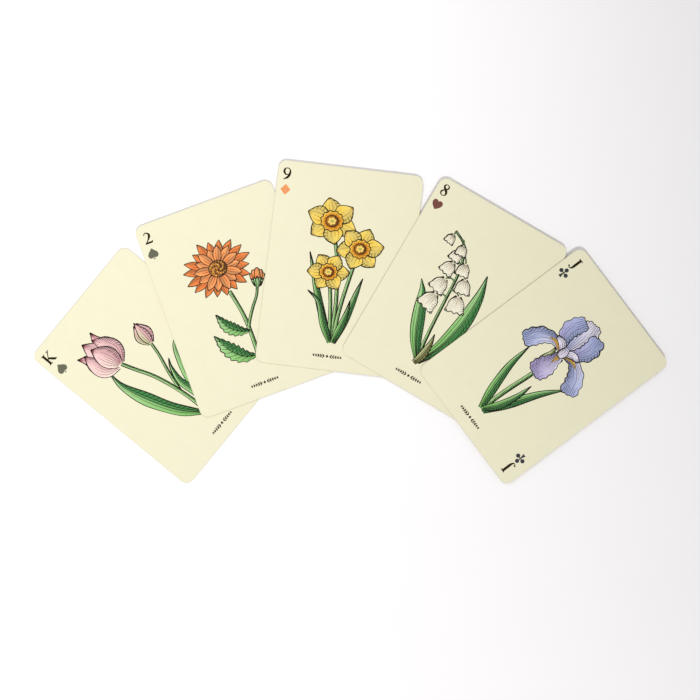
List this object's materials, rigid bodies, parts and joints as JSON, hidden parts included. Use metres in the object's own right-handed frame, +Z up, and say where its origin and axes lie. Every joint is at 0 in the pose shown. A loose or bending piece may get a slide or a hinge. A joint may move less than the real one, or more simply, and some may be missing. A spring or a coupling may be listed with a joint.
{
  "type": "fan of playing cards",
  "caption": "Fan of loose laminated playing cards laid face up; each card swings over the one below it to open the fan or square it into a packet.",
  "frame": {"origin": "on the table, under the middle of the laid fan's outer box", "axes": "+X to the right across the fan, from the king to the jack; +Y away from the fan's centre, towards the cards' top edges; +Z up from the table"},
  "size_m": [0.2722, 0.1394, 0.0018],
  "materials": {
    "face_stock": "cream coated card stock, satin",
    "glue_core": "opaque dark glue core, matte",
    "back_stock": "cream coated card stock, satin"
  },
  "bodies": {
    "king_of_spades": {"king_of_spades_back_sheet": "back_stock", "king_of_spades_core_layer": "glue_core", "king_of_spades_face_sheet": "face_stock"},
    "two_of_spades": {"two_of_spades_back_sheet": "back_stock", "two_of_spades_core_layer": "glue_core", "two_of_spades_face_sheet": "face_stock"},
    "nine_of_diamonds": {"nine_of_diamonds_back_sheet": "back_stock", "nine_of_diamonds_core_layer": "glue_core", "nine_of_diamonds_face_sheet": "face_stock"},
    "eight_of_hearts": {"eight_of_hearts_back_sheet": "back_stock", "eight_of_hearts_core_layer": "glue_core", "eight_of_hearts_face_sheet": "face_stock"},
    "jack_of_clubs": {"jack_of_clubs_back_sheet": "back_stock", "jack_of_clubs_core_layer": "glue_core", "jack_of_clubs_face_sheet": "face_stock"}
  },
  "joints": [
    {"name": "two_turn", "type": "hinge", "parent": "king_of_spades", "child": "two_of_spades", "pos_m": [-0.01342, -0.06875, 0.00038], "axis": [0, 0, 1], "range_deg": [-20, 30.5]},
    {"name": "nine_turn", "type": "hinge", "parent": "two_of_spades", "child": "nine_of_diamonds", "pos_m": [0.00022, -0.07652, 0.00076], "axis": [0, 0, 1], "range_deg": [-14, 27]},
    {"name": "eight_turn", "type": "hinge", "parent": "nine_of_diamonds", "child": "eight_of_hearts", "pos_m": [-0.01193, -0.10338, 0.00114], "axis": [0, 0, 1], "range_deg": [-8, 23.5]},
    {"name": "jack_turn", "type": "hinge", "parent": "eight_of_hearts", "child": "jack_of_clubs", "pos_m": [-0.00574, -0.09945, 0.00152], "axis": [0, 0, 1], "range_deg": [-10, 22.8]}
  ]
}
